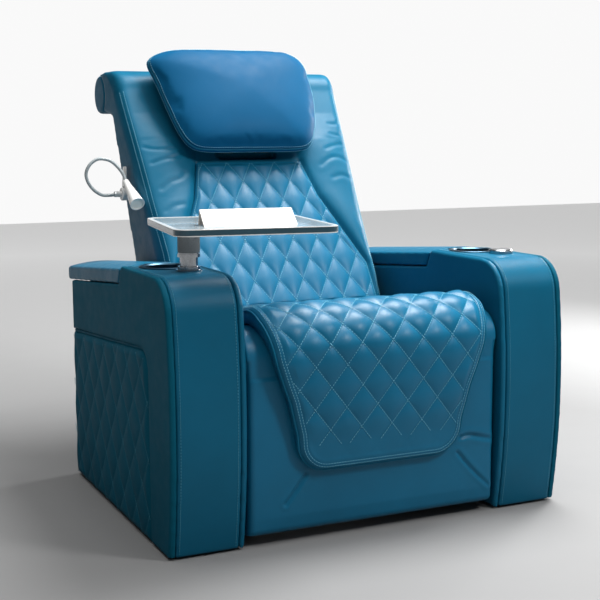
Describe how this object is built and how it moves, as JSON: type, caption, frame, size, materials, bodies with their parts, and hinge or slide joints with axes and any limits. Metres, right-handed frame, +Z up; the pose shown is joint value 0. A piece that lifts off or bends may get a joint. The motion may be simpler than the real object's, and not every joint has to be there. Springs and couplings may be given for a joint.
{
  "type": "cinema recliner seat",
  "caption": "Powered cinema recliner with quilted seat and back, lidded storage arms, cup holders, swivel glass tray, head pillow and gooseneck reading lamp.",
  "frame": {"origin": "on the floor, at the centre of the four floor fixings", "axes": "+X to the sitter's left-hand side as seen from the front (right of the picture), +Y to the rear, +Z up; the seat faces -Y"},
  "size_m": [0.97, 1.1483, 1.1165],
  "materials": {
    "leather_body": "semi-gloss",
    "leather_top": "semi-gloss",
    "leather_dark": "semi-gloss",
    "plywood": "raw",
    "steel_black": "satin",
    "steel_zinc": "satin",
    "cup_metal": "satin",
    "silver": "satin",
    "plastic_black": "matt",
    "plastic_grey": "matt",
    "white_gloss": "gloss",
    "tray_glass": "gloss",
    "lens": "gloss",
    "rubber": "matt"
  },
  "bodies": {
    "base": {"arm_inner_pads": "leather_body", "arm_outer_pad_left": "leather_body", "arm_outer_pad_right": "leather_body", "arm_side_quilt_left": "leather_dark", "arm_side_quilt_right": "leather_dark", "arm_front_band_left": "leather_body", "arm_front_band_right": "leather_body", "arm_rear_pads": "leather_body", "arm_carcasses": "plywood", "bin_liners": "plastic_black", "lid_hinges": "steel_zinc", "cup_holders": "cup_metal", "arm_sockets": "silver", "floor_bars": "steel_black", "side_frames": "steel_black", "cross_tubes": "steel_black", "arm_bolts": "steel_zinc", "glides": "plastic_black", "seat_deck": "plywood", "seat_foam": "leather_body", "seat_quilt": "leather_top", "nose_quilt": "leather_top", "leg_pivots": "steel_black", "recline_pivots": "steel_black", "switch_plate": "silver", "power_inlet": "plastic_black"},
    "backrest": {"back_foam": "leather_body", "back_quilt": "leather_top", "back_shell": "leather_body", "back_roll": "leather_body", "back_frame": "steel_black", "headrest_bar": "steel_zinc", "lamp_base": "white_gloss", "lamp_neck": "white_gloss", "lamp_shade": "white_gloss", "lamp_lens": "lens"},
    "legrest": {"leg_panel": "leather_body", "leg_board": "plywood", "leg_apron": "leather_dark", "leg_frame": "steel_black"},
    "headrest": {"head_pillow": "leather_top", "headrest_plate": "steel_black"},
    "lid_left": {"lid_pad_left": "leather_top", "lid_board_left": "plywood", "lid_hinge_leaf_left": "steel_zinc"},
    "lid_right": {"lid_pad_right": "leather_top", "lid_board_right": "plywood", "lid_hinge_leaf_right": "steel_zinc"},
    "tray_post": {"tray_post": "silver"},
    "tray": {"tray_hub": "silver", "tray_glass": "tray_glass", "menu_rest": "white_gloss"},
    "socket_cap": {"socket_cap": "silver"},
    "button_recline": {"button_recline": "plastic_black"},
    "button_raise": {"button_raise": "plastic_black"},
    "lamp_button": {"lamp_button": "plastic_grey"},
    "recline_motor": {"recline_motor": "plastic_grey"},
    "recline_rod": {"recline_rod": "steel_zinc"},
    "leg_motor": {"leg_motor": "plastic_grey"},
    "leg_rod": {"leg_rod": "steel_zinc"}
  },
  "joints": [
    {"name": "recline", "type": "hinge", "parent": "base", "child": "backrest", "pos_m": [0, 0.18, 0.37], "axis": [-1, 0, 0], "range_deg": [0, 35]},
    {"name": "leg_rest", "type": "hinge", "parent": "base", "child": "legrest", "pos_m": [0, -0.32, 0.405], "axis": [-1, 0, 0], "range_deg": [0, 80], "deforming": ["nose_quilt"]},
    {"name": "headrest_tilt", "type": "hinge", "parent": "backrest", "child": "headrest", "pos_m": [0, 0.36249, 0.82912], "axis": [1, 0, 0], "range_deg": [0, 25]},
    {"name": "lid_left_hinge", "type": "hinge", "parent": "base", "child": "lid_left", "pos_m": [-0.4, 0.361, 0.5], "axis": [-1, 0, 0], "range_deg": [0, 45]},
    {"name": "lid_right_hinge", "type": "hinge", "parent": "base", "child": "lid_right", "pos_m": [0.4, 0.361, 0.5], "axis": [-1, 0, 0], "range_deg": [0, 45]},
    {"name": "tray_post_lift", "type": "slide", "parent": "base", "child": "tray_post", "axis": [0, 0, 1], "range_m": [0, 0.08]},
    {"name": "tray_swivel", "type": "hinge", "parent": "tray_post", "child": "tray", "pos_m": [-0.378, -0.234, 0.675], "axis": [0, 0, 1], "range_deg": [-95, 20]},
    {"name": "socket_cap_lift", "type": "slide", "parent": "base", "child": "socket_cap", "axis": [0, 0, 1], "range_m": [0, 0.035]},
    {"name": "button_recline_press", "type": "slide", "parent": "base", "child": "button_recline", "axis": [-1, 0, 0], "range_m": [0, 0.0025], "stiffness_N_per_m": 400},
    {"name": "button_raise_press", "type": "slide", "parent": "base", "child": "button_raise", "axis": [-1, 0, 0], "range_m": [0, 0.0025], "stiffness_N_per_m": 400},
    {"name": "lamp_button_press", "type": "slide", "parent": "backrest", "child": "lamp_button", "axis": [0, 0, -1], "range_m": [0, 0.0025], "stiffness_N_per_m": 400},
    {"name": "recline_motor_swing", "type": "hinge", "parent": "base", "child": "recline_motor", "pos_m": [0.06, -0.136, 0.32], "axis": [1, 0, 0], "range_deg": [-0.5, 0]},
    {"name": "recline_rod_slide", "type": "slide", "parent": "recline_motor", "child": "recline_rod", "axis": [0, 0.9896, -0.1439], "range_m": [-0.0606, 0]},
    {"name": "leg_motor_swing", "type": "hinge", "parent": "base", "child": "leg_motor", "pos_m": [-0.06, 0.021, 0.16], "axis": [1, 0, 0], "range_deg": [0, 1.4]},
    {"name": "leg_rod_slide", "type": "slide", "parent": "leg_motor", "child": "leg_rod", "axis": [0, -0.8764, 0.4815], "range_m": [0, 0.091]}
  ],
  "couplings": [
    {"joint": "recline_motor_swing", "follows": "recline", "ratio": -0.0124},
    {"joint": "recline_rod_slide", "follows": "recline", "m_per_rad": -0.09859},
    {"joint": "leg_motor_swing", "follows": "leg_rest", "ratio": 0.0171},
    {"joint": "leg_rod_slide", "follows": "leg_rest", "m_per_rad": 0.06489}
  ]
}
